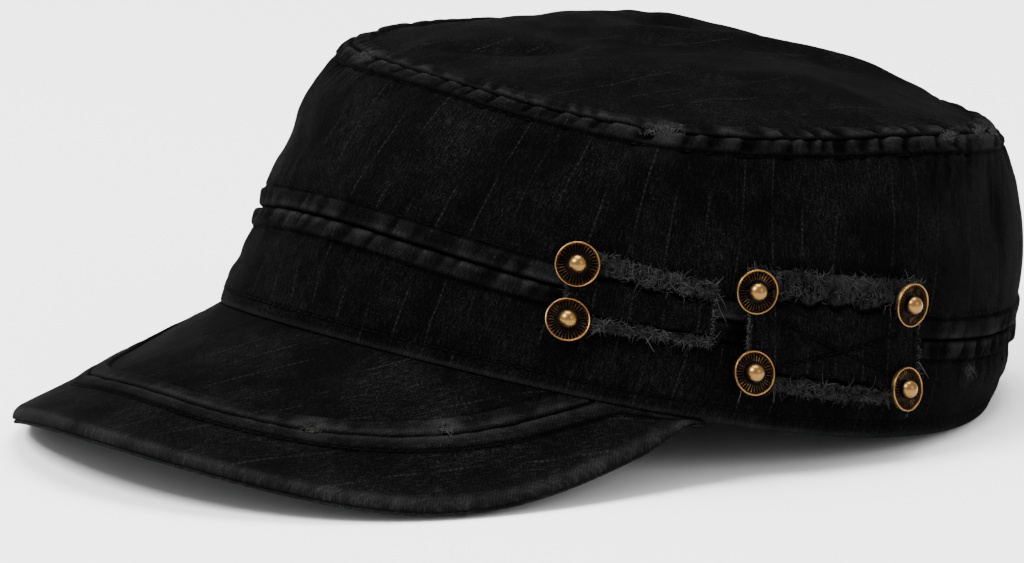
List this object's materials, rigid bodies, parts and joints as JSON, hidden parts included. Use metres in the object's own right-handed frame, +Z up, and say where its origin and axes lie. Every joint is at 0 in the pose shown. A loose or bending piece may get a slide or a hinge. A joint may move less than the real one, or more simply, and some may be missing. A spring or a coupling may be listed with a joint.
{
  "type": "military cap",
  "caption": "Flat-topped soft cadet cap in washed black denim with an arched peak, a frayed tab and patch, and brass rivets on the wearer's left.",
  "frame": {"origin": "middle of the bounding box at its bottom, on the surface that the cap stands on", "axes": "+Z up, -Y forward from the crown to the peak, +X towards the wearer's left, where the tab, patch and rivets are"},
  "size_m": [0.1802, 0.2744, 0.0932],
  "materials": {
    "crown_denim": "washed black denim with fine lighter slub stripes, worn pale along seams",
    "peak_denim": "washed black denim over a stiff board, worn pale along its edge",
    "trim_denim": "washed black denim with raw edges frayed to grey threads",
    "antique_brass": "antiqued brass, dark in the ribbed recess and bright on the rim and dome"
  },
  "bodies": {
    "root": {"crown_top": "crown_denim", "crown_side": "crown_denim", "crown_band": "crown_denim", "peak_base": "peak_denim", "peak_panel": "peak_denim", "peak_border": "peak_denim", "front_tab": "trim_denim", "rear_patch": "trim_denim", "rivet_1": "antique_brass", "rivet_2": "antique_brass", "rivet_3": "antique_brass", "rivet_4": "antique_brass", "rivet_5": "antique_brass", "rivet_6": "antique_brass"}
  },
  "joints": []
}
